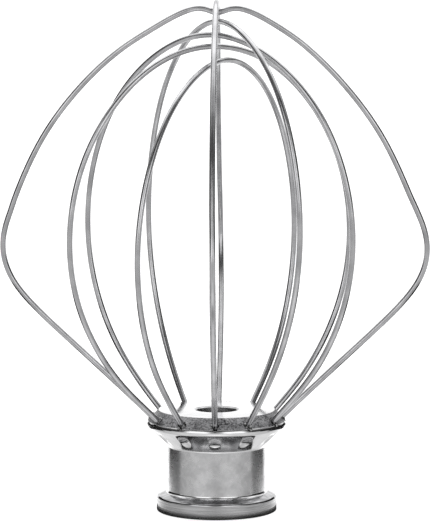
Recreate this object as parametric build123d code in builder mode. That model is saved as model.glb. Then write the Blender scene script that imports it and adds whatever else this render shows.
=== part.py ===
from build123d import *
import math
import os

os.makedirs("parts", exist_ok=True)

# A wire whip for a kitchen mixer: twelve wire ends splay from a turned hub and
# meet in pairs as six closed loops.  The whip stands on the mixer end of its hub.
# Origin: centre of the hub's bottom face.  +Z runs along the hub to the loops.
# The two wide loops lie in the XZ and YZ planes.  All sizes are millimetres.

# Mixer shaft that the hub slides on, with the pin that crosses it on one side
shaft_diameter = 12.7
shaft_clearance = 0.1
cross_pin_diameter = 4.76
cross_pin_stand = 2.55
cross_pin_clearance = 0.3
twist_to_lock = 70.0
slot_azimuth = 90.0

# Base collar
collar_radius = 18.4
collar_edge_height = 4.75
collar_height = 5.8
collar_bottom_rounding = 0.5
collar_top_rounding = 0.8
spigot_wall = 1.7
spigot_height = 3.0
pin_seat_depth = 1.2

# Hub body
neck_radius = 15.0
neck_length = 14.45
neck_foot_radius = 15.6
neck_foot_rounding = 0.85
rim_radius = 21.5
rim_land = 1.15
band_rise = 3.7
flare_angle = 43.2
splay_angle = 45.0
flare_rounding = 0.9
rim_rounding = 1.3
bore_chamfer = 0.45
pin_pocket_height = 6.4
pin_pocket_wall = 0.6

# Shaft bush and the dowel that stops the twist
bush_wall = 2.55
bush_shoulder = 2.4
dowel_diameter = 2.5
dowel_sunk = 2.0
dowel_gap = 0.35

# Wire loops
wire_diameter = 1.8
wire_hole_clearance = 0.05
wire_grip_length = 9.22
wire_inset = 1.55
loop_pitch = 30.0
whip_height = 154.8
crossing_dip = 1.0
wide_elbow_radius = 67.9
wide_shoulder_radius = 47.5
wide_shoulder_drop = 24.3
wide_crest_radius = 7.0
inner_elbow_radius = 47.9
inner_flank_drop = 44.5
inner_shoulder_radius = 35.6
inner_shoulder_drop = 14.0
inner_crest_radius = 11.25

# Each inner loop: its azimuth and how far its crown hangs under the whip's top
inner_loops = {
    "wire_inner_first": (-2 * loop_pitch, 5.4),
    "wire_inner_second": (-1 * loop_pitch, 9.4),
    "wire_inner_third": (1 * loop_pitch, 12.6),
    "wire_inner_fourth": (2 * loop_pitch, 16.8),
}

# Stake marks, one under each wire end
stake_ball_radius = 4.6
stake_depth = 0.5

# Worked-out sizes
splay = math.radians(splay_angle)
flare = math.radians(flare_angle)
wire_radius = wire_diameter / 2
wire_end_count = round(360 / loop_pitch)
bore_radius = shaft_diameter / 2 + shaft_clearance
slot_width = cross_pin_diameter + 2 * cross_pin_clearance
slot_reach = shaft_diameter / 2 + cross_pin_stand + cross_pin_clearance
collar_slope = (collar_height - collar_edge_height) / (collar_radius - neck_foot_radius)
neck_foot = collar_height + (neck_foot_radius - neck_radius) * collar_slope
neck_top = collar_height + neck_length
rim_bottom = neck_top + (rim_radius - neck_radius) * math.tan(flare)
rim_top = rim_bottom + rim_land
hub_top = rim_top + band_rise
plateau_radius = rim_radius - band_rise / math.tan(splay)
spigot_top = collar_height + spigot_height
pocket_radius = slot_reach + pin_pocket_wall
spigot_radius = pocket_radius + spigot_wall
pocket_top = spigot_top + pin_pocket_height
bush_radius = bore_radius + bush_wall
bush_top = hub_top - bush_shoulder
entry_radius = rim_radius - wire_inset
entry_height = rim_top + wire_inset * math.tan(splay)
end_radius = entry_radius - wire_grip_length * math.sin(splay)
end_height = entry_height - wire_grip_length * math.cos(splay)


def axis_plane(azimuth):
    """Upright plane through the hub's axis: its x runs outward, its y runs up."""
    angle = math.radians(azimuth)
    outward = (math.cos(angle), math.sin(angle), 0)
    sideways = (math.sin(angle), -math.cos(angle), 0)
    return Plane(origin=(0, 0, 0), x_dir=outward, z_dir=sideways)


def in_space(azimuth, radius, height):
    """Point at a radius and height on the upright plane of an azimuth."""
    return axis_plane(azimuth).from_local_coords(Vector(radius, height, 0))


def outward_and_up(azimuth):
    """Direction in which a wire leaves the hub."""
    return in_space(azimuth, math.sin(splay), math.cos(splay))


def finish(builder, label):
    """Label a finished piece and write its STEP file."""
    builder.part.label = label
    export_step(builder.part, f"parts/{label}.step")
    print(label, round(builder.part.volume, 1), "mm3")


# Hub body: one turned outline, bored in steps from below, with the wire holes
# drilled square to the sloping band and a stake mark punched over each of them.
with BuildPart() as hub_body:
    with BuildSketch(Plane.XZ):
        with BuildLine():
            Polyline(
                (spigot_radius, collar_height),
                (neck_foot_radius, collar_height),
                (neck_radius, neck_foot),
                (neck_radius, neck_top),
                (rim_radius, rim_bottom),
                (rim_radius, rim_top),
                (plateau_radius, hub_top),
                (bore_radius, hub_top),
                (bore_radius, bush_top),
                (bush_radius, bush_top),
                (bush_radius, pocket_top),
                (pocket_radius, pocket_top),
                (pocket_radius, spigot_top),
                (spigot_radius, spigot_top),
                close=True,
            )
        outline = make_face()
        corners = outline.vertices()
        neck_corner = corners.sort_by_distance((neck_radius, neck_top))[0]
        foot_corner = corners.sort_by_distance((neck_radius, neck_foot))[0]
        lower_rim_corner = corners.sort_by_distance((rim_radius, rim_bottom))[0]
        upper_rim_corner = corners.sort_by_distance((rim_radius, rim_top))[0]
        mouth_corner = corners.sort_by_distance((bore_radius, hub_top))[0]
        fillet(neck_corner, flare_rounding)
        fillet(lower_rim_corner, rim_rounding)
        fillet(upper_rim_corner, rim_rounding)
        fillet(foot_corner, neck_foot_rounding)
        chamfer(mouth_corner, bore_chamfer)
    revolve(axis=Axis.Z)
    for end in range(wire_end_count):
        azimuth = end * loop_pitch
        wire_way = outward_and_up(azimuth)
        hole_floor = Plane(origin=in_space(azimuth, end_radius, end_height), z_dir=wire_way)
        with BuildSketch(hole_floor):
            Circle(wire_radius + wire_hole_clearance)
        extrude(amount=wire_grip_length + band_rise, mode=Mode.SUBTRACT)
        ball_offset = stake_ball_radius - stake_depth
        stake_radius = (neck_radius + rim_radius) / 2 + ball_offset * math.sin(flare)
        stake_height = (neck_top + rim_bottom) / 2 - ball_offset * math.cos(flare)
        with Locations(in_space(azimuth, stake_radius, stake_height)):
            Sphere(stake_ball_radius, mode=Mode.SUBTRACT)
finish(hub_body, "hub_body")

# Base collar: its spigot is pressed into the hub from below.  The keyhole slot
# lets the cross pin in, and the pin drops into the seat after the twist.
with BuildPart() as base_collar:
    with BuildSketch(Plane.XZ):
        with BuildLine():
            Polyline(
                (bore_radius, 0),
                (collar_radius, 0),
                (collar_radius, collar_edge_height),
                (neck_foot_radius, collar_height),
                (spigot_radius, collar_height),
                (spigot_radius, spigot_top),
                (bore_radius, spigot_top),
                close=True,
            )
        outline = make_face()
        corners = outline.vertices()
        bottom_corner = corners.sort_by_distance((collar_radius, 0))[0]
        top_corner = corners.sort_by_distance((collar_radius, collar_edge_height))[0]
        mouth_corner = corners.sort_by_distance((bore_radius, 0))[0]
        fillet(bottom_corner, collar_bottom_rounding)
        fillet(top_corner, collar_top_rounding)
        chamfer(mouth_corner, bore_chamfer)
    revolve(axis=Axis.Z)
    with BuildSketch():
        with PolarLocations(0, 1, start_angle=slot_azimuth):
            SlotCenterPoint((slot_reach / 2, 0), (slot_reach - slot_width / 2, 0), slot_width)
    extrude(amount=spigot_top, mode=Mode.SUBTRACT)
    seat_azimuth = slot_azimuth - twist_to_lock
    with BuildSketch(Plane.XY.offset(spigot_top - pin_seat_depth)):
        with PolarLocations(0, 1, start_angle=seat_azimuth):
            SlotCenterPoint((slot_reach / 2, 0), (slot_reach - slot_width / 2, 0), slot_width)
    extrude(amount=pin_seat_depth, mode=Mode.SUBTRACT)
    pin_half_angle = math.degrees(math.asin(slot_width / 2 / slot_reach))
    dowel_circle = (bore_radius + pocket_radius) / 2
    dowel_half_angle = math.degrees((dowel_diameter / 2 + dowel_gap) / dowel_circle)
    dowel_azimuth = seat_azimuth - pin_half_angle - dowel_half_angle
    dowel_spot = in_space(dowel_azimuth, dowel_circle, spigot_top)
    with Locations(dowel_spot):
        Hole(dowel_diameter / 2, depth=dowel_sunk)
finish(base_collar, "base_collar")

# Stop dowel: stands in the pocket and ends the twist
with BuildPart() as stop_dowel:
    with BuildSketch(Plane(origin=dowel_spot - Vector(0, 0, dowel_sunk))):
        Circle(dowel_diameter / 2)
    extrude(amount=dowel_sunk + pin_pocket_height - cross_pin_clearance)
finish(stop_dowel, "stop_dowel")

# Shaft bush: a plain sleeve pressed up to the shoulder under the hub's top face
with BuildPart() as shaft_bush:
    with BuildSketch(Plane.XY.offset(pocket_top)):
        Circle(bush_radius)
        Circle(bore_radius, mode=Mode.SUBTRACT)
    extrude(amount=bush_top - pocket_top)
finish(shaft_bush, "shaft_bush")


def bend_radii(points, reaches):
    """Radius of each bend, whose arc reaches a share of its shorter run."""
    radii = []
    for before, corner, after, reach in zip(points, points[1:], points[2:], reaches):
        arriving = Vector(corner) - Vector(before)
        leaving = Vector(after) - Vector(corner)
        turn = math.radians(arriving.get_angle(leaving))
        run = min(arriving.length, leaving.length)
        radii.append(reach * run / math.tan(turn / 2))
    return radii


def make_wire_loop(label, azimuth, corners, reaches):
    """Bend one wire: up the corners of one side, over the crown and down the other."""
    side = [(end_radius, end_height)] + corners
    crown_is_single = corners[-1][0] == 0
    other = side[-2::-1] if crown_is_single else side[::-1]
    other_reaches = reaches[-2::-1] if crown_is_single else reaches[::-1]
    points = side + [(-radius, height) for radius, height in other]
    radii = bend_radii(points, reaches + other_reaches)
    with BuildPart() as wire:
        with BuildLine(axis_plane(azimuth)) as path:
            FilletPolyline(*points, radius=radii)
        with BuildSketch(Plane(origin=path.wire() @ 0, z_dir=path.wire() % 0)):
            Circle(wire_radius)
        sweep()
    length = path.wire().length
    print(label, "wire length", round(length, 1), "bends", [round(r, 1) for r in radii])
    finish(wire, label)


def on_wire_line(radius):
    """Corner at a radius on the straight line along which a wire leaves the hub."""
    return (radius, entry_height + (radius - entry_radius) / math.tan(splay))


# Wide loops: straight out to a sharp elbow, then one long curve to the crown.
# The lower one dips where the upper one crosses it.
wide_side = [
    on_wire_line(wide_elbow_radius),
    (wide_shoulder_radius, whip_height - wide_shoulder_drop),
    (wide_crest_radius, whip_height),
]
dip_corner = (0, whip_height - wire_diameter - crossing_dip)
make_wire_loop("wire_wide_lower", 0, wide_side + [dip_corner], [0.22, 0.76, 0.50, 0.46])
make_wire_loop("wire_wide_upper", 90, wide_side, [0.22, 0.76, 0.46])

# Inner loops: one even belly each, with the four crowns stacked under the wide ones
for label, (azimuth, crown_drop) in inner_loops.items():
    crown = whip_height - crown_drop
    inner_side = [
        on_wire_line(inner_elbow_radius),
        (inner_elbow_radius, crown - inner_flank_drop),
        (inner_shoulder_radius, crown - inner_shoulder_drop),
        (inner_crest_radius, crown),
    ]
    make_wire_loop(label, azimuth, inner_side, [0.60, 0.38, 0.55, 0.44])
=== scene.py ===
# %% [markdown]
# # A wire whip, dressed around its imported frame
# The object is a bent-wire tool: a turned aluminium hub that locks on a mixer's
# shaft, and six loops of stainless wire whose twelve ends are staked into it.
# The imported model gives every place and size, so the script loads it first and
# reads the box of each of its parts.

import math

import bmesh
import bpy
from mathutils import Matrix, Vector, noise


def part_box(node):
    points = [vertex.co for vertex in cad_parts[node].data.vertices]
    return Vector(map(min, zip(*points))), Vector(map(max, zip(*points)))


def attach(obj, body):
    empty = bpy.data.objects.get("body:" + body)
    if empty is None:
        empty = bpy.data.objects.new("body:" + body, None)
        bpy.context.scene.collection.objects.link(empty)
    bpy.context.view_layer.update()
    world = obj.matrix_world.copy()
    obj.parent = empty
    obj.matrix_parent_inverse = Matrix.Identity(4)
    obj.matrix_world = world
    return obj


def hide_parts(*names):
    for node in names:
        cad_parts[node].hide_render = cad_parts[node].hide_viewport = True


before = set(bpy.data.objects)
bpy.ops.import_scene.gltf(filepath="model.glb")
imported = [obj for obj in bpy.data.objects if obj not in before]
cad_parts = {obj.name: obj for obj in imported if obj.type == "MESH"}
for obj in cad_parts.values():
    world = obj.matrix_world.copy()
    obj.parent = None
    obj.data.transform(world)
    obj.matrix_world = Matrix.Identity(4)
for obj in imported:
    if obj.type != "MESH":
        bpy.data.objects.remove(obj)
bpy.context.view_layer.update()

# %% [markdown]
# ## Millimetres
# A maker measures such a hub in millimetres, and so does this script. Every
# mesh is built at that size and scaled to metres once, when it is finished.

# %% Sizes read from the frame, in millimetres
MM = 0.001
TURN = 2 * math.pi


def span(node):
    """Lowest and highest corner of a CAD node, in millimetres."""
    low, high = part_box(node)
    return low / MM, high / MM


hub_low, hub_high = span("hub_body")
collar_low, collar_high = span("base_collar")
bush_low, bush_high = span("shaft_bush")
rim_radius = hub_high.x
hub_foot = hub_low.z
hub_top = hub_high.z
collar_radius = collar_high.x
spigot_top = collar_high.z
bush_radius = bush_high.x
print("hub", round(rim_radius, 2), "by", round(hub_top, 2), "mm")

# %% [markdown]
# ## Colour and nodes
# Colours are written as the hex values that a paint chart would give. A shader
# wants linear light, so one function turns them. A second small function adds a
# node with its settings and links, so that each material reads as a short list.


# %% Helpers for materials
def linear(hex_colour):
    """The linear RGBA of an sRGB hex colour."""
    channels = []
    for start in (1, 3, 5):
        value = int(hex_colour[start:start + 2], 16) / 255
        channels.append(value / 12.92 if value <= 0.04045 else ((value + 0.055) / 1.055) ** 2.4)
    return (*channels, 1.0)


def add_node(tree, kind, inputs=None, stops=None, **settings):
    """Add a node. An input given as a node or a socket is linked, any other is set."""
    node = tree.nodes.new(kind)
    for name, value in settings.items():
        setattr(node, name, value)
    for name, value in (inputs or {}).items():
        if isinstance(name, int):
            entry = node.inputs[name]
        else:
            entry = next(s for s in node.inputs if s.enabled and name in (s.name, s.identifier))
        if isinstance(value, bpy.types.Node):
            value = next(s for s in value.outputs if s.enabled)
        if isinstance(value, bpy.types.NodeSocket):
            tree.links.new(value, entry)
        else:
            entry.default_value = value
    if stops:
        ramp = node.color_ramp.elements
        ramp.remove(ramp[1])
        for step, (position, colour) in enumerate(stops):
            element = ramp.new(position) if step else ramp[0]
            element.position = position
            element.color = colour if isinstance(colour, tuple) else (colour, colour, colour, 1)
    return node


def per_mm(size):
    """Texture scale at which one cell of a pattern is this many millimetres."""
    return 1 / (size * MM)


def new_material(name):
    """An empty node material, its tree and its object coordinates."""
    material = bpy.data.materials.new(name)
    material.use_nodes = True
    tree = material.node_tree
    tree.nodes.clear()
    place = add_node(tree, "ShaderNodeTexCoord").outputs["Object"]
    return material, tree, place


# %% [markdown]
# ## Turned and burnished aluminium
# The neck of the hub is turned on a lathe and then rubbed bright. The tool
# leaves fine rings, which smear a reflection up and down, and handling leaves
# soft cloudy patches. Anisotropy gives the smear without modelling each ring.

# %% Material: burnished aluminium
burnished_aluminium, tree, place = new_material("burnished_aluminium")
stretched = add_node(tree, "ShaderNodeMapping", {"Vector": place, "Scale": (1, 1, 14)})
turning = add_node(tree, "ShaderNodeTexNoise", {"Vector": stretched, "Scale": per_mm(4.0), "Detail": 4.0})
cloudy = {"Vector": place, "Scale": per_mm(3.5), "Detail": 5.0, "Roughness": 0.6}
clouds = add_node(tree, "ShaderNodeTexNoise", cloudy)
tint_stops = [(0.34, linear("#c6c6c7")), (0.62, linear("#e0e0e1"))]
tint = add_node(tree, "ShaderNodeValToRGB", {"Fac": clouds}, stops=tint_stops)
gloss_range = {"Value": clouds, "From Min": 0.3, "From Max": 0.7, "To Min": 0.33, "To Max": 0.24}
gloss = add_node(tree, "ShaderNodeMapRange", gloss_range)
relief = add_node(tree, "ShaderNodeMix", {"Factor": 0.5, "A": turning, "B": clouds})
grooves = add_node(tree, "ShaderNodeBump", {"Height": relief, "Strength": 0.22, "Distance": 0.15 * MM})
lay = add_node(tree, "ShaderNodeTangent", direction_type="RADIAL", axis="Z")
surface = {"Metallic": 1.0, "Base Color": tint, "Roughness": gloss, "Normal": grooves}
surface.update({"Anisotropic": 0.4, "Anisotropic Rotation": 0.25, "Tangent": lay})
shader = add_node(tree, "ShaderNodeBsdfPrincipled", surface)
add_node(tree, "ShaderNodeOutputMaterial", {"Surface": shader})

# %% [markdown]
# ## Turned collar
# The collar is left as the lathe cut it, so its rings show as fine level lines
# of lighter and darker grey.

# %% Material: lathe-turned aluminium
turned_aluminium, tree, place = new_material("turned_aluminium")
rings = add_node(tree, "ShaderNodeMapping", {"Vector": place, "Scale": (0.25, 0.25, 9)})
turning = add_node(tree, "ShaderNodeTexNoise", {"Vector": rings, "Scale": per_mm(3.0), "Detail": 5.0})
tint_stops = [(0.30, linear("#a6a6a7")), (0.70, linear("#d8d8d9"))]
tint = add_node(tree, "ShaderNodeValToRGB", {"Fac": turning}, stops=tint_stops)
gloss_range = {"Value": turning, "From Min": 0.3, "From Max": 0.7, "To Min": 0.32, "To Max": 0.20}
gloss = add_node(tree, "ShaderNodeMapRange", gloss_range)
grooves = add_node(tree, "ShaderNodeBump", {"Height": turning, "Strength": 0.25, "Distance": 0.08 * MM})
lay = add_node(tree, "ShaderNodeTangent", direction_type="RADIAL", axis="Z")
surface = {"Metallic": 1.0, "Base Color": tint, "Roughness": gloss, "Normal": grooves}
surface.update({"Anisotropic": 0.35, "Anisotropic Rotation": 0.25, "Tangent": lay})
shader = add_node(tree, "ShaderNodeBsdfPrincipled", surface)
add_node(tree, "ShaderNodeOutputMaterial", {"Surface": shader})

# %% [markdown]
# ## Polished aluminium
# The flare and its rim are rolled bright and the flat top face is buffed like a
# mirror. Buffing leaves it very smooth, with faint smears in the gloss.

# %% Material: buffed aluminium
buffed_aluminium, tree, place = new_material("buffed_aluminium")
smears = add_node(tree, "ShaderNodeTexNoise", {"Vector": place, "Scale": per_mm(5.0), "Distortion": 0.6})
tint_stops = [(0.3, linear("#e2e2e3")), (0.7, linear("#f2f2f3"))]
tint = add_node(tree, "ShaderNodeValToRGB", {"Fac": smears}, stops=tint_stops)
gloss_range = {"Value": smears, "From Min": 0.3, "From Max": 0.7, "To Min": 0.16, "To Max": 0.10}
gloss = add_node(tree, "ShaderNodeMapRange", gloss_range)
ripple = add_node(tree, "ShaderNodeBump", {"Height": smears, "Strength": 0.06, "Distance": 0.1 * MM})
surface = {"Metallic": 1.0, "Base Color": tint, "Roughness": gloss, "Normal": ripple}
shader = add_node(tree, "ShaderNodeBsdfPrincipled", surface)
add_node(tree, "ShaderNodeOutputMaterial", {"Surface": shader})

# %% [markdown]
# ## Aluminium with painted shade
# The corner between the collar and the neck gets a greyer metal colour, which is
# painted shade for the shade that falls there. The metal stays as smooth as the rest.

# %% Material: aluminium with painted shade
slope_aluminium_painted_shade, tree, place = new_material("slope_aluminium_painted_shade")
shade_mottle = add_node(tree, "ShaderNodeTexNoise", {"Vector": place, "Scale": per_mm(2.5), "Detail": 4.0})
# This greyer tint is painted shade, not a stain.
tint_stops = [(0.35, linear("#9c9c9e")), (0.65, linear("#cacacc"))]
tint = add_node(tree, "ShaderNodeValToRGB", {"Fac": shade_mottle}, stops=tint_stops)
surface = {"Metallic": 1.0, "Base Color": tint, "Roughness": 0.13}
shader = add_node(tree, "ShaderNodeBsdfPrincipled", surface)
add_node(tree, "ShaderNodeOutputMaterial", {"Surface": shader})

# %% [markdown]
# ## Staked band
# The sloping band is where the wires are driven in. It is never polished: the
# metal there is torn and hammered, so it is dark, dull and grainy.

# %% Material: rough-cut aluminium
rough_aluminium, tree, place = new_material("rough_cut_aluminium")
grain = add_node(tree, "ShaderNodeTexNoise", {"Vector": place, "Scale": per_mm(0.55), "Detail": 6.0})
patches = add_node(tree, "ShaderNodeTexNoise", {"Vector": place, "Scale": per_mm(4.0)})
mixed = add_node(tree, "ShaderNodeMix", {"Factor": 0.35, "A": grain, "B": patches})
tint_stops = [(0.36, linear("#3a3a3c")), (0.62, linear("#b2b2b4"))]
tint = add_node(tree, "ShaderNodeValToRGB", {"Fac": mixed}, stops=tint_stops)
pits = add_node(tree, "ShaderNodeBump", {"Height": grain, "Strength": 0.7, "Distance": 0.15 * MM})
surface = {"Metallic": 1.0, "Base Color": tint, "Roughness": 0.48, "Normal": pits}
shader = add_node(tree, "ShaderNodeBsdfPrincipled", surface)
add_node(tree, "ShaderNodeOutputMaterial", {"Surface": shader})

# %% [markdown]
# The burrs and the notches beside them are torn metal. A cell pattern gives each
# facet its own tilt, and it also colours some cells near black beside bright ones:
# the near-black cells are painted shade in the crevices at each wire's foot.

# %% Material: torn aluminium with painted shade
burr_aluminium_painted_shade, tree, place = new_material("torn_aluminium_painted_shade")
facets = add_node(tree, "ShaderNodeTexVoronoi", {"Vector": place, "Scale": per_mm(0.6)})
# The near-black end of this ramp is painted shade.
tint_stops = [(0.40, linear("#0e0e0f")), (0.70, linear("#cccccc"))]
tint = add_node(tree, "ShaderNodeValToRGB", {"Fac": facets}, stops=tint_stops)
chips = add_node(tree, "ShaderNodeBump", {"Height": facets, "Strength": 1.0, "Distance": 0.3 * MM})
surface = {"Metallic": 1.0, "Base Color": tint, "Roughness": 0.22, "Normal": chips}
shader = add_node(tree, "ShaderNodeBsdfPrincipled", surface)
add_node(tree, "ShaderNodeOutputMaterial", {"Surface": shader})

# %% [markdown]
# ## Reamed steel in painted shade
# The bush and the dowel are plain steel, reamed and ground. They sit inside the
# hub, and their dark grey is painted shade from the hub round them.

# %% Material: reamed steel in painted shade
reamed_steel_painted_shade, tree, place = new_material("reamed_steel_painted_shade")
scoring = add_node(tree, "ShaderNodeMapping", {"Vector": place, "Scale": (1, 1, 10)})
scores = add_node(tree, "ShaderNodeTexNoise", {"Vector": scoring, "Scale": per_mm(2.0), "Detail": 4.0})
# This dark grey is painted shade.
tint_stops = [(0.3, linear("#3c3c3f")), (0.7, linear("#66666a"))]
tint = add_node(tree, "ShaderNodeValToRGB", {"Fac": scores}, stops=tint_stops)
ridges = add_node(tree, "ShaderNodeBump", {"Height": scores, "Strength": 0.2, "Distance": 0.05 * MM})
surface = {"Metallic": 1.0, "Base Color": tint, "Roughness": 0.35, "Normal": ridges}
shader = add_node(tree, "ShaderNodeBsdfPrincipled", surface)
add_node(tree, "ShaderNodeOutputMaterial", {"Surface": shader})

# %% [markdown]
# ## Drawn stainless wire
# The wire is pulled through a die, which leaves it bright, with hair lines along
# its length. The pattern follows the wire, so it reads the tube's own UV map,
# where U runs round the wire and V runs along it.

# %% Material: drawn stainless wire
drawn_wire, tree, place = new_material("drawn_stainless_wire")
tube = add_node(tree, "ShaderNodeUVMap", uv_map="UVMap")
along = add_node(tree, "ShaderNodeMapping", {"Vector": tube, "Scale": (40, 9, 1)})
hairlines = add_node(tree, "ShaderNodeTexNoise", {"Vector": along, "Scale": 1.0, "Detail": 3.0})
smudges = add_node(tree, "ShaderNodeTexNoise", {"Vector": place, "Scale": per_mm(6.0)})
tint_stops = [(0.3, linear("#b6b6b8")), (0.7, linear("#d4d4d6"))]
tint = add_node(tree, "ShaderNodeValToRGB", {"Fac": smudges}, stops=tint_stops)
gloss_range = {"Value": hairlines, "From Min": 0.3, "From Max": 0.7, "To Min": 0.26, "To Max": 0.16}
gloss = add_node(tree, "ShaderNodeMapRange", gloss_range)
lines = add_node(tree, "ShaderNodeBump", {"Height": hairlines, "Strength": 0.1, "Distance": 0.03 * MM})
surface = {"Metallic": 1.0, "Base Color": tint, "Roughness": gloss, "Normal": lines}
shader = add_node(tree, "ShaderNodeBsdfPrincipled", surface)
add_node(tree, "ShaderNodeOutputMaterial", {"Surface": shader})

# %% [markdown]
# ## Lathe work
# Both the hub and the collar come off a lathe, and a spin is a lathe: an outline
# of a few corners turns about the axis. Each corner leaves a ring of edges, and
# a bevel on that ring breaks the edge as a file would.


# %% Helpers for turned pieces
MERGE_GAP = 0.0001


def spin_about_z(bm, geometry, angle, steps):
    """Sweep geometry about the Z axis, closing it when the sweep is a full turn."""
    bmesh.ops.spin(
        bm,
        geom=geometry,
        cent=(0, 0, 0),
        axis=(0, 0, 1),
        angle=angle,
        steps=steps,
        use_merge=abs(angle) == TURN,
        use_duplicate=False,
    )


def bevel_edges(bm, edges, width, segments):
    """Round the edges over by a width."""
    bmesh.ops.bevel(
        bm,
        geom=edges,
        offset=width,
        offset_type="OFFSET",
        segments=segments,
        profile=0.5,
        affect="EDGES",
        material=-1,
    )


def lathe(outline, steps):
    """Spin a closed outline of (radius, height) corners about the Z axis."""
    bm = bmesh.new()
    corners = [bm.verts.new((radius, 0, height)) for radius, height in outline]
    edges = [bm.edges.new(pair) for pair in zip(corners, corners[1:] + corners[:1])]
    spin_about_z(bm, corners + edges, TURN, steps)
    bmesh.ops.remove_doubles(bm, verts=bm.verts, dist=MERGE_GAP)
    bmesh.ops.recalc_face_normals(bm, faces=bm.faces)
    return bm


def on_ring(vertex, radius, height, slack=0.01):
    """Whether a vertex lies on the circle at a radius and a height."""
    reach = math.hypot(vertex.co.x, vertex.co.y)
    return abs(reach - radius) < slack and abs(vertex.co.z - height) < slack


def round_ring(bm, radius, height, width, segments=4):
    """Round over the ring of edges at a radius and a height."""
    ring = []
    for edge in bm.edges:
        if all(on_ring(vertex, radius, height) for vertex in edge.verts):
            ring.append(edge)
    bevel_edges(bm, ring, width, segments)


def to_object(bm, name, materials):
    """Hand a bmesh over to a new object with its materials."""
    mesh = bpy.data.meshes.new(name)
    bm.to_mesh(mesh)
    bm.free()
    for material in materials:
        mesh.materials.append(material)
    piece = bpy.data.objects.new(name, mesh)
    bpy.context.scene.collection.objects.link(piece)
    return piece


def cut(piece, cutter):
    """Cut one object's mesh out of another's and throw the cutter away."""
    cutting = piece.modifiers.new("cut", "BOOLEAN")
    cutting.operation = "DIFFERENCE"
    cutting.solver = "EXACT"
    cutting.object = cutter
    graph = bpy.context.evaluated_depsgraph_get()
    piece.data = bpy.data.meshes.new_from_object(piece.evaluated_get(graph))
    piece.modifiers.clear()
    bpy.data.objects.remove(cutter)


def finish_piece(piece, smooth_angle=30):
    """Scale a piece to metres, shade it smooth up to an angle and mount it."""
    piece.data.transform(Matrix.Scale(MM, 4))
    piece.data.polygons.foreach_set("use_smooth", [True] * len(piece.data.polygons))
    piece.data.set_sharp_from_angle(angle=math.radians(smooth_angle))
    piece.data.update()
    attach(piece, "root")
    print(piece.name, len(piece.data.polygons), "faces")


# %% [markdown]
# ## Hub body
# One bar of aluminium is turned to a neck, a flare of about 43 degrees, a thin
# rim and a band that slopes back to the flat top. The outline below has one
# corner for each change of direction, and a bevel breaks each sharp edge. The
# bevel widths are the tangent lengths of the roundings that the hub needs.

# %% Hub outline
neck_radius = 15.0
foot_radius = 15.6
foot_slope = 0.375
neck_foot = hub_foot + (foot_radius - neck_radius) * foot_slope
neck_top = 20.25
rim_bottom = 26.35
rim_top = 27.5
band_rise = 3.7
plateau_height = rim_top + band_rise
plateau_radius = rim_radius - band_rise
bore_radius = 6.45
spigot_radius = 11.5
pocket_radius = 9.8
pocket_top = bush_low.z
bore_chamfer = 0.45
hub_steps = 288
hub_outline = [
    (spigot_radius, hub_foot),
    (foot_radius, hub_foot),
    (neck_radius, neck_foot),
    (neck_radius, neck_top),
    (rim_radius, rim_bottom),
    (rim_radius, rim_top),
    (plateau_radius, plateau_height),
    (bore_radius, plateau_height),
    (bore_radius, bush_high.z),
    (bush_radius, bush_high.z),
    (bush_radius, pocket_top),
    (pocket_radius, pocket_top),
    (pocket_radius, spigot_top),
    (spigot_radius, spigot_top),
]
hub_bm = lathe(hub_outline, hub_steps)
round_ring(hub_bm, neck_radius, neck_foot, 0.57, 6)
round_ring(hub_bm, neck_radius, neck_top, 0.45, 5)
round_ring(hub_bm, rim_radius, rim_bottom, 0.61, 8)
round_ring(hub_bm, rim_radius, rim_top, 0.64, 8)
round_ring(hub_bm, plateau_radius, plateau_height, 0.12, 2)
round_ring(hub_bm, bore_radius, plateau_height, bore_chamfer, 1)
print("hub outline spun,", len(hub_bm.faces), "faces")

# %% [markdown]
# Each stretch of the hub has its own finish, so each face takes a material by
# where it lies. The fourth one is for the notches, which are cut further down.

# %% Hub finishes
HUB_FINISHES = [burnished_aluminium, buffed_aluminium, rough_aluminium, burr_aluminium_painted_shade]
BURNISHED, BUFFED, ROUGH, TORN_PAINTED_SHADE = range(4)
rim_rounding_rise = 0.42
flare_rounding_drop = 0.3
foot_rounding_rise = 0.5
wall_slack = 0.1
flat_slack = 0.01
for face in hub_bm.faces:
    middle = face.calc_center_median()
    reach = math.hypot(middle.x, middle.y)
    outside = reach > neck_radius - wall_slack
    above_neck = middle.z > neck_top - flare_rounding_drop
    below_neck = middle.z < neck_foot + foot_rounding_rise
    on_plateau = reach > bore_radius + wall_slack and middle.z > plateau_height - flat_slack
    if reach > plateau_radius and middle.z > rim_top + rim_rounding_rise:
        face.material_index = ROUGH
    elif outside and (above_neck or below_neck):
        face.material_index = BUFFED
    elif on_plateau:
        face.material_index = BUFFED
hub = to_object(hub_bm, "hub", HUB_FINISHES)

# %% [markdown]
# ## Wire holes and stake marks
# Twelve holes are drilled square to the sloping band, 30 degrees apart. When the
# wires are in, a round-nosed punch is struck on the flare over each of them, and
# it leaves a dent. The punch that closes the hole also tears a small notch from
# the rim's edge. All are cut with a boolean, as a drill and a punch would.

# %% Where the wires enter
wire_ends = 12
splay = math.radians(45)
wire_radius = 0.9
grip_length = 9.22
wire_inset = 1.55
entry_radius = rim_radius - wire_inset
entry_height = rim_top + wire_inset
wire_way = Vector((math.sin(splay), 0, math.cos(splay)))
entry = Vector((entry_radius, 0, entry_height))


def around(count):
    """Turns about the hub's axis, one for each of a ring of equal features."""
    return [Matrix.Rotation(TURN * step / count, 4, "Z") for step in range(count)]


def aimed(position, direction):
    """A placement at a position whose Z axis looks along a direction."""
    return Matrix.Translation(position) @ direction.to_track_quat("Z", "Y").to_matrix().to_4x4()


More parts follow.
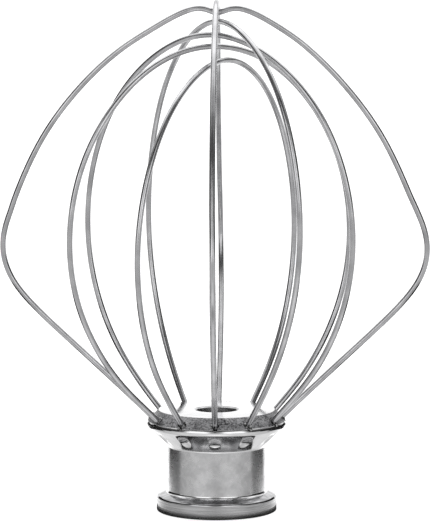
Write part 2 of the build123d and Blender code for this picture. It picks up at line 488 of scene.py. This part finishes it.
# %% Cut the holes and the stake marks
hole_gap = 0.10
overshoot = 2.0
drill_radius = wire_radius + hole_gap
drill = bmesh.new()
for turn in around(wire_ends):
    middle = entry + wire_way * (overshoot - grip_length / 2)
    bmesh.ops.create_cone(
        drill,
        cap_ends=True,
        segments=32,
        radius1=drill_radius,
        radius2=drill_radius,
        depth=grip_length + 2 * overshoot,
        matrix=turn @ aimed(middle, wire_way),
    )
for face in drill.faces:
    face.material_index = ROUGH
cut(hub, to_object(drill, "drill", HUB_FINISHES))

ball_radius = 4.6
stake_depth = 0.50
flare_slope = math.atan2(rim_bottom - neck_top, rim_radius - neck_radius)
flare_out = Vector((math.sin(flare_slope), 0, -math.cos(flare_slope)))
stake_spot = Vector(((neck_radius + rim_radius) / 2, 0, (neck_top + rim_bottom) / 2))
punch = bmesh.new()
for turn in around(wire_ends):
    centre = stake_spot + flare_out * (ball_radius - stake_depth)
    punch_place = turn @ aimed(centre, flare_out)
    bmesh.ops.create_uvsphere(punch, u_segments=48, v_segments=64, radius=ball_radius, matrix=punch_place)
for face in punch.faces:
    face.material_index = BUFFED
cut(hub, to_object(punch, "punch", HUB_FINISHES))

notch_radius = 0.85
notch_inset = 0.30
notch_rise = 0.55
notch_raggedness = 0.30
notch_spot = Vector((rim_radius - notch_inset, 0, rim_top + notch_rise))
notches = bmesh.new()
for number, turn in enumerate(around(wire_ends)):
    made = bmesh.ops.create_icosphere(notches, subdivisions=3, radius=notch_radius)
    for vertex in made["verts"]:
        ragged = noise.noise(vertex.co * 1.6 + Vector((7.0 * number, 0, 0)))
        vertex.co *= 1 + notch_raggedness * ragged
    bmesh.ops.transform(notches, matrix=turn @ Matrix.Translation(notch_spot), verts=made["verts"])
for face in notches.faces:
    face.material_index = TORN_PAINTED_SHADE
cut(hub, to_object(notches, "notches", HUB_FINISHES))
finish_piece(hub)
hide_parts("hub_body")

# %% [markdown]
# ## Burrs
# The punch that closes each hole raises a ragged lip of metal round the wire. A
# ring spun about the wire's own line, pushed about by noise, gives such a lip,
# and a different stretch of the noise makes the twelve of them all unlike. The
# noise is seeded, so the burrs come out the same each time.

# %% Raise a burr round each wire
burr_seed = 4
burr_reach = 1.0
burr_thickness = 0.28
burr_raggedness = 0.30
on_edge = Matrix.Rotation(math.radians(90), 4, "X")
section_place = Matrix.Translation((burr_reach, 0, 0)) @ on_edge
noise.seed_set(burr_seed)
burrs = bmesh.new()
for number, turn in enumerate(around(wire_ends)):
    placement = turn @ aimed(entry, wire_way)
    made = bmesh.ops.create_circle(burrs, segments=10, radius=burr_thickness, matrix=section_place)
    section = set(made["verts"])
    loop = [edge for edge in burrs.edges if edge.verts[0] in section]
    before = set(burrs.verts) - section
    spin_about_z(burrs, made["verts"] + loop, TURN, 48)
    ring = [vertex for vertex in burrs.verts if vertex not in before]
    for vertex in ring:
        ragged = noise.noise_vector(vertex.co * 2.2 + Vector((0, 11.0 * number, 0)))
        vertex.co += ragged * burr_raggedness
    bmesh.ops.transform(burrs, matrix=placement, verts=ring)
bmesh.ops.remove_doubles(burrs, verts=burrs.verts, dist=MERGE_GAP)
bmesh.ops.recalc_face_normals(burrs, faces=burrs.faces)
burr_piece = to_object(burrs, "stake_burrs", [burr_aluminium_painted_shade])
finish_piece(burr_piece, 50)

# %% [markdown]
# ## Base collar
# The collar closes the hub from below. Its top slopes up to the neck, and a
# keyhole slot lets the pin of the mixer's shaft pass through it.

# %% Spin the collar and cut the slot
collar_edge = 4.75
slot_width = 5.36
slot_reach = 9.2
slot_flat = 0.01
seat_depth = 1.2
collar_outline = [
    (bore_radius, 0),
    (collar_radius, 0),
    (collar_radius, collar_edge),
    (foot_radius, hub_foot),
    (spigot_radius, hub_foot),
    (spigot_radius, spigot_top),
    (bore_radius, spigot_top),
]
collar_bm = lathe(collar_outline, hub_steps)
round_ring(collar_bm, collar_radius, 0, 0.5, 5)
round_ring(collar_bm, collar_radius, collar_edge, 0.56, 8)
round_ring(collar_bm, bore_radius, 0, bore_chamfer, 1)
COLLAR_FINISHES = [turned_aluminium, slope_aluminium_painted_shade]
TURNED, SHADED_SLOPE = range(2)
edge_rounding_drop = 0.45
# The collar's top slope and its rounding take the greyer metal, which is painted shade in the corner by
# the neck.
for face in collar_bm.faces:
    middle = face.calc_center_median()
    if middle.z > collar_edge - edge_rounding_drop and math.hypot(middle.x, middle.y) > neck_radius:
        face.material_index = SHADED_SLOPE
collar = to_object(collar_bm, "collar", COLLAR_FINISHES)


def slot_cutter(azimuth, bottom, top):
    """A round-ended bar from the axis out to the slot's reach."""
    bm = bmesh.new()
    turn = Matrix.Rotation(azimuth, 4, "Z")
    height = top - bottom
    centre = slot_reach - slot_width / 2
    middle = (bottom + top) / 2
    bar = bmesh.ops.create_cube(bm, size=1.0)
    bmesh.ops.scale(bm, vec=(centre, slot_width, height), verts=bar["verts"])
    bmesh.ops.translate(bm, vec=(centre / 2, 0, middle), verts=bar["verts"])
    ends = [v for v in bar["verts"] if v.co.x > centre / 2]
    far = []
    for edge in bm.edges:
        rise = abs(edge.verts[0].co.z - edge.verts[1].co.z)
        if rise > height / 2 and all(vertex in ends for vertex in edge.verts):
            far.append(edge)
    bmesh.ops.translate(bm, vec=(slot_width / 2, 0, 0), verts=ends)
    bevel_edges(bm, far, slot_width / 2 - slot_flat, 12)
    bmesh.ops.transform(bm, matrix=turn, verts=bm.verts)
    return to_object(bm, "slot_cutter", COLLAR_FINISHES)


cut(collar, slot_cutter(math.radians(90), -1.0, spigot_top + 1.0))
cut(collar, slot_cutter(math.radians(20), spigot_top - seat_depth, spigot_top + 1.0))
finish_piece(collar)
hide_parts("base_collar")

# %% [markdown]
# ## Bush and dowel
# Both are plain ground cylinders, and the CAD model already has their shape. They
# keep it, and only take the steel with its painted shade.

# %% Dress the CAD pieces that stay
for node in ("shaft_bush", "stop_dowel"):
    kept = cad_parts[node]
    kept.data.materials.clear()
    kept.data.materials.append(reamed_steel_painted_shade)

# %% [markdown]
# ## Wire loops
# Each loop is one length of wire, bent by hand over a former, so it is a curve
# with a round section and not a lathe shape. A NURBS spline bends as springy
# wire does, without flats, and needs a point only where the bend changes. The
# points are on the wire's own upright plane, in millimetres outward and up. A
# lean shifts the belly and the crown along that plane and a sway shifts them
# across it, as no hand-bent loop is true. A corner that is given twice holds the
# wire closer to it.


# %% Helper for wire loops
def make_loop(name, azimuth, side, lean, node, out_sway=None, back_sway=None):
    """Bend one wire through the points of its side, over the crown and back."""
    start = entry - wire_way * grip_length
    shifts = [0, 0] + lean
    points = [(start.x, start.z)] + side
    straight = [0] * len(points)
    out = []
    back = []
    for (radius, height), shift, sway in zip(points, shifts, out_sway or straight):
        out.append((shift + radius, sway, height))
    for (radius, height), shift, sway in zip(points, shifts, back_sway or straight):
        back.append((shift - radius, sway, height))
    back.reverse()
    if side[-1][0] == 0:
        back.pop(0)
    direction = Vector((math.cos(math.radians(azimuth)), math.sin(math.radians(azimuth)), 0))
    curve = bpy.data.curves.new(name, "CURVE")
    curve.dimensions = "3D"
    spline = curve.splines.new("NURBS")
    route = out + back
    spline.points.add(len(route) - 1)
    across = Vector((direction.y, -direction.x, 0))
    for point, (radius, sway, height) in zip(spline.points, route):
        place = direction * radius + across * sway
        point.co = (place.x, place.y, height, 1)
    spline.order_u = 4
    spline.use_endpoint_u = True
    curve.resolution_u = 40
    curve.bevel_depth = wire_radius
    curve.bevel_resolution = 6
    curve.use_fill_caps = True
    draft = bpy.data.objects.new(name + "_draft", curve)
    bpy.context.scene.collection.objects.link(draft)
    graph = bpy.context.evaluated_depsgraph_get()
    mesh = bpy.data.meshes.new_from_object(draft.evaluated_get(graph))
    mesh.name = name
    bpy.data.objects.remove(draft)
    mesh.materials.clear()
    mesh.materials.append(drawn_wire)
    piece = bpy.data.objects.new(name, mesh)
    bpy.context.scene.collection.objects.link(piece)
    finish_piece(piece)
    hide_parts(node)
    return piece


# %% Bend the wide loops
wide_side = [
    (41.5, 50.5),
    (70.0, 71.5),
    (61.0, 94.5),
    (61.0, 94.5),
    (52.5, 115.0),
    (39.0, 132.0),
    (28.5, 141.5),
    (22.0, 146.0),
]
dip_crown = [(5.5, 156.0), (0.0, 150.5)]
high_crown = [(9.0, 155.0), (3.0, 155.5)]
wide_lean = [-0.4, -0.9, -1.3, -1.3, -1.1, -0.6, 0.2, 0.2, 0.2]
make_loop("wide_loop_lower", 0, wide_side + dip_crown, wide_lean, "wire_wide_lower")
far_sway = [0, 0.4, -0.4, -0.6, -0.7, -0.8, -0.65, -0.3, -0.2, 0, 0]
near_sway = [0, 0.2, 0.75, 0.45, 0.35, 0.2, 0.1, 0, 0, 0, 0]
upright = [0] * 9
make_loop("wide_loop_upper", 90, wide_side + high_crown, upright, "wire_wide_upper", far_sway, near_sway)

# %% Bend the inner loops
start_bend = (22.6, 31.7)
first_side = [start_bend, (40.5, 51.5), (52.0, 89.0), (40.0, 130.0), (12.5, 150.5)]
make_loop("inner_loop_first", -60, first_side, [1.5, 3.0, 2.0, 0.9], "wire_inner_first")
second_side = [start_bend, (39.5, 47.5), (51.0, 84.5), (40.5, 124.0), (13.0, 146.5)]
make_loop("inner_loop_second", -30, second_side, [0.1, 0.2, -0.9, -2.0], "wire_inner_second")
third_side = [start_bend, (33.5, 40.0), (50.5, 70.0), (47.5, 110.5), (19.0, 143.5)]
make_loop("inner_loop_third", 30, third_side, [-0.6, -1.3, -1.2, -1.0], "wire_inner_third")
fourth_side = [start_bend, (39.5, 47.0), (49.5, 85.0), (35.5, 122.0), (11.0, 138.5)]
make_loop("inner_loop_fourth", 60, fourth_side, [0.7, 1.3, 3.6, 5.9], "wire_inner_fourth")

# %% [markdown]
# ## Floor, light and camera
# Bright metal shows its surroundings, so the studio is part of the picture: a
# pale floor, a light tent, and a dark gap between its walls on each side, which
# draws the dark edges along the wires.

# %% Floor
floor_material, tree, place = new_material("studio_floor")
mottle = add_node(tree, "ShaderNodeTexNoise", {"Vector": place, "Scale": 2.0})
tint_stops = [(0.3, linear("#f2f2f2")), (0.7, linear("#f5f5f5"))]
tint = add_node(tree, "ShaderNodeValToRGB", {"Fac": mottle}, stops=tint_stops)
surface = {"Base Color": tint, "Roughness": 0.9, "Emission Color": (1, 1, 1, 1), "Emission Strength": 0.7}
shader = add_node(tree, "ShaderNodeBsdfPrincipled", surface)
add_node(tree, "ShaderNodeOutputMaterial", {"Surface": shader})
floor_bm = bmesh.new()
bmesh.ops.create_circle(floor_bm, cap_ends=True, segments=96, radius=40.0)
floor = to_object(floor_bm, "floor", [floor_material])
floor.visible_glossy = False

# %% [markdown]
# A studio puts black cards, called flags, beside bright metal so that it mirrors
# something dark. A low pair darkens the sides of the neck and a higher pair
# darkens the rim. A round black disc under the hub is a painted shadow: it stands
# for the shade on the floor round the hub's foot, which the flare mirrors. Only
# reflections see them: they cast no shadow of their own.

# %% Black flags
flag_felt, tree, place = new_material("black_felt")
fibres = add_node(tree, "ShaderNodeTexNoise", {"Vector": place, "Scale": per_mm(2.0)})
tint_stops = [(0.3, linear("#0a0a0a")), (0.7, linear("#161616"))]
tint = add_node(tree, "ShaderNodeValToRGB", {"Fac": fibres}, stops=tint_stops)
surface = {"Base Color": tint, "Roughness": 1.0}
shader = add_node(tree, "ShaderNodeBsdfPrincipled", surface)
add_node(tree, "ShaderNodeOutputMaterial", {"Surface": shader})


def stage_flag(bm, name):
    """Put up a flag that only reflections see."""
    bmesh.ops.scale(bm, vec=(MM, MM, MM), verts=bm.verts)
    flag = to_object(bm, name, [flag_felt])
    flag.visible_camera = False
    flag.visible_diffuse = False
    flag.visible_shadow = False
    flag.visible_transmission = False


# A black disc under the hub, seen only in reflections, is painted shadow of the floor round the hub's
# foot.
shadow_disc_radius = 22.5
shadow_disc_place = Matrix.Translation((0, 0, 0.2))
shadow_disc = bmesh.new()
bmesh.ops.create_circle(shadow_disc, cap_ends=True, segments=96, radius=shadow_disc_radius, matrix=shadow_disc_place)
stage_flag(shadow_disc, "painted_shadow_under_hub")



def side_flags(label, distance, bottom, top, first, last):
    """A pair of curved flags, from one bearing to another on each side."""
    for side, name in ((1, label + "_right"), (-1, label + "_left")):
        bm = bmesh.new()
        turn = Matrix.Rotation(math.radians(side * first - 90), 3, "Z")
        start = turn @ Vector((distance, 0, bottom))
        low = bm.verts.new(start)
        high = bm.verts.new(start + Vector((0, 0, top - bottom)))
        edge = bm.edges.new((low, high))
        sweep = math.radians(side * (last - first))
        spin_about_z(bm, [low, high, edge], sweep, 24)
        stage_flag(bm, name)


side_flags("low_flag", 70.0, 0.0, 20.0, 84, 136)
side_flags("high_flag", 100.0, 20.0, 46.0, 70, 146)

# %% Light tent
world = bpy.data.worlds.new("light_tent")
bpy.context.scene.world = world
world.use_nodes = True
tree = world.node_tree
tree.nodes.clear()
way = add_node(tree, "ShaderNodeTexCoord").outputs["Generated"]
parts = add_node(tree, "ShaderNodeSeparateXYZ", {"Vector": way})
level = add_node(tree, "ShaderNodeCombineXYZ", {"X": parts.outputs["X"], "Y": parts.outputs["Y"]})
level_way = add_node(tree, "ShaderNodeVectorMath", {"Vector": level}, operation="NORMALIZE")
level_parts = add_node(tree, "ShaderNodeSeparateXYZ", {"Vector": level_way})
front = add_node(tree, "ShaderNodeMath", {0: level_parts.outputs["Y"], 1: -1.0}, operation="MULTIPLY")
bearing = add_node(tree, "ShaderNodeMath", {0: front}, operation="ARCCOSINE")
bearing = add_node(tree, "ShaderNodeMath", {0: bearing, 1: math.degrees(1)}, operation="MULTIPLY")
climb = add_node(tree, "ShaderNodeMath", {0: parts.outputs["Z"]}, operation="ARCSINE")
climb = add_node(tree, "ShaderNodeMath", {0: climb, 1: math.degrees(1)}, operation="MULTIPLY")


def wall(stops):
    """A ring of the tent: brightness by bearing, 0 in front to 180 degrees behind."""
    share = add_node(tree, "ShaderNodeMapRange", {"Value": bearing, "From Max": 180.0})
    stops = [(degrees / 180, brightness) for degrees, brightness in stops]
    return add_node(tree, "ShaderNodeValToRGB", {"Fac": share}, stops=stops)


def above(lower, upper, start, end):
    """Fade from one ring to the next between two climbs in degrees."""
    share = add_node(tree, "ShaderNodeMapRange", {"Value": climb, "From Min": start, "From Max": end})
    return add_node(tree, "ShaderNodeMix", {"Factor": share, "A": lower, "B": upper}, data_type="RGBA")


table_near = wall([(0, 0.40), (80, 0.50), (105, 1.0)])
table_far = wall([(0, 1.05), (50, 0.75), (110, 0.55), (150, 0.85), (180, 0.60)])
front_room = [(0, 0.54), (25, 0.68), (58, 0.64), (75, 0.55)]
rear_room = [(110, 0.62), (130, 0.90), (142, 1.3), (180, 1.5)]
room = wall(front_room + rear_room)
front_cards = [(0, 0.35), (8, 0.45), (18, 1.5), (46, 1.35), (56, 0.15)]
rear_cards = [(64, 0.03), (134, 0.02), (148, 1.1), (180, 1.1)]
cards = wall(front_cards + rear_cards)
lamps = wall([(0, 0.15), (8, 0.25), (18, 1.2), (46, 1.1), (56, 0.12), (100, 0.15), (130, 0.8), (180, 0.8)])
valance = wall([(0, 0.05), (70, 0.06), (88, 0.9), (112, 0.95), (126, 1.6), (180, 1.8)])
roof = wall([(0, 0.20), (50, 0.5), (80, 1.0), (100, 1.5), (180, 1.6)])
sky = above(table_near, table_far, -70, -60)
sky = above(sky, room, -32, -22)
sky = above(sky, cards, 4, 10)
sky = above(sky, lamps, 26, 32)
sky = above(sky, valance, 39, 44)
sky = above(sky, roof, 62, 68)
tent = add_node(tree, "ShaderNodeBackground", {"Color": sky, "Strength": 1.0})
plain = add_node(tree, "ShaderNodeBackground", {"Color": (1, 1, 1, 1), "Strength": 1.0})
ray = add_node(tree, "ShaderNodeLightPath").outputs["Is Camera Ray"]
both = add_node(tree, "ShaderNodeMixShader", {"Fac": ray, "Shader": tent, "Shader_001": plain})
add_node(tree, "ShaderNodeOutputWorld", {"Surface": both})

# %% Camera
camera_turn = math.radians(1.612)
camera_dip = math.radians(5.860)
camera_back = 881.1
camera_height = 167.4
camera_side = -0.35
camera_data = bpy.data.cameras.new("camera")
camera_data.lens = 200.7
camera_data.sensor_width = 36.0
camera_data.clip_end = 100.0
camera = bpy.data.objects.new("camera", camera_data)
spot = Matrix.Rotation(camera_turn, 3, "Z") @ Vector((camera_side, -camera_back, camera_height)) * MM
camera.location = spot
camera.rotation_euler = (math.radians(90) - camera_dip, 0, camera_turn)
bpy.context.scene.collection.objects.link(camera)
bpy.context.scene.camera = camera
bpy.context.scene.view_settings.view_transform = "Standard"
